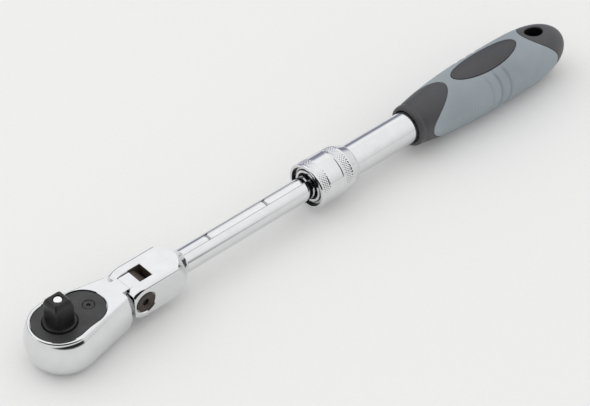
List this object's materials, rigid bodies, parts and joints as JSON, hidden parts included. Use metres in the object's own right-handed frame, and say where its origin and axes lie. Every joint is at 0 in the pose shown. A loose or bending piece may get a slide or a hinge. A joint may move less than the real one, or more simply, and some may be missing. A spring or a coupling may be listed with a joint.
{
  "type": "ratchet wrench",
  "caption": "Extendable ratchet wrench with a flex head, half-inch square drive, sliding locking bar and two-tone soft grip.",
  "frame": {"origin": "centre of the bounding box's footprint, on the surface the tool lies on, with the bar fully extended and the head in line", "axes": "+X along the bar from the ratchet head towards the grip, +Z along the square drive"},
  "size_m": [0.4333, 0.0456, 0.0469],
  "materials": {
    "chrome": "polished chrome plate",
    "black_oxide": "black oxide on steel",
    "steel": "hardened, ground steel",
    "spring_steel": "drawn spring wire and stamped rings",
    "bronze": "oil-filled sintered bronze",
    "black_plastic": "satin black moulded plastic",
    "grey_rubber": "satin blue-grey soft overmoulding"
  },
  "bodies": {
    "handle": {"outer_tube": "chrome", "guide_sleeve": "bronze", "spring_stop_ring": "spring_steel", "lock_ball": "steel", "tube_end_plug": "black_plastic", "retaining_ring": "spring_steel", "grip_core": "black_plastic", "grip_overmold": "grey_rubber", "grip_badge": "black_plastic", "collar_spring": "spring_steel"},
    "collar": {"lock_collar": "chrome", "cam_sleeve": "steel"},
    "bar": {"extension_bar": "chrome", "pivot_screw": "black_oxide", "pivot_nut": "black_oxide", "flex_detent_ball": "steel", "flex_detent_spring": "spring_steel", "rear_bush": "bronze", "bush_clip": "spring_steel"},
    "head": {"head_body": "chrome", "cover_plate": "black_oxide", "plate_screw": "black_oxide", "pawl_pin": "steel", "thrust_washer": "steel"},
    "drive": {"drive_gear": "black_oxide", "detent_ball": "steel", "release_spring": "spring_steel"},
    "release": {"release_rod": "steel", "release_button": "chrome"},
    "pawl": {"pawl": "steel"},
    "lever": {"reverse_lever": "chrome", "pawl_plunger": "steel", "plunger_spring": "spring_steel"}
  },
  "joints": [
    {"name": "bar_slide", "type": "slide", "parent": "handle", "child": "bar", "axis": [1, 0, 0], "range_m": [0, 0.0896]},
    {"name": "collar_slide", "type": "slide", "parent": "handle", "child": "collar", "axis": [-1, 0, 0], "range_m": [0, 0.0042], "stiffness_N_per_m": 1500, "springref_m": -0.002, "deforming": ["collar_spring"]},
    {"name": "head_flex", "type": "hinge", "parent": "bar", "child": "head", "pos_m": [-0.1436, 0, 0.0194], "axis": [0, 1, 0], "range_deg": [-90, 90]},
    {"name": "drive_spin", "type": "hinge", "parent": "head", "child": "drive", "pos_m": [-0.1953, 0, 0.0194], "axis": [0, 0, 1], "continuous": true},
    {"name": "button_press", "type": "slide", "parent": "drive", "child": "release", "axis": [0, 0, 1], "range_m": [0, 0.0022], "stiffness_N_per_m": 600, "springref_m": -0.003, "deforming": ["release_spring"]},
    {"name": "lever_turn", "type": "hinge", "parent": "head", "child": "lever", "pos_m": [-0.1658, 0, 0.0194], "axis": [0, 0, 1], "range_deg": [-50, 0]},
    {"name": "pawl_rock", "type": "hinge", "parent": "head", "child": "pawl", "pos_m": [-0.175, 0, 0.0194], "axis": [0, 0, 1], "range_deg": [0, 8]}
  ],
  "couplings": [
    {"joint": "pawl_rock", "follows": "lever_turn", "ratio": -0.16}
  ]
}
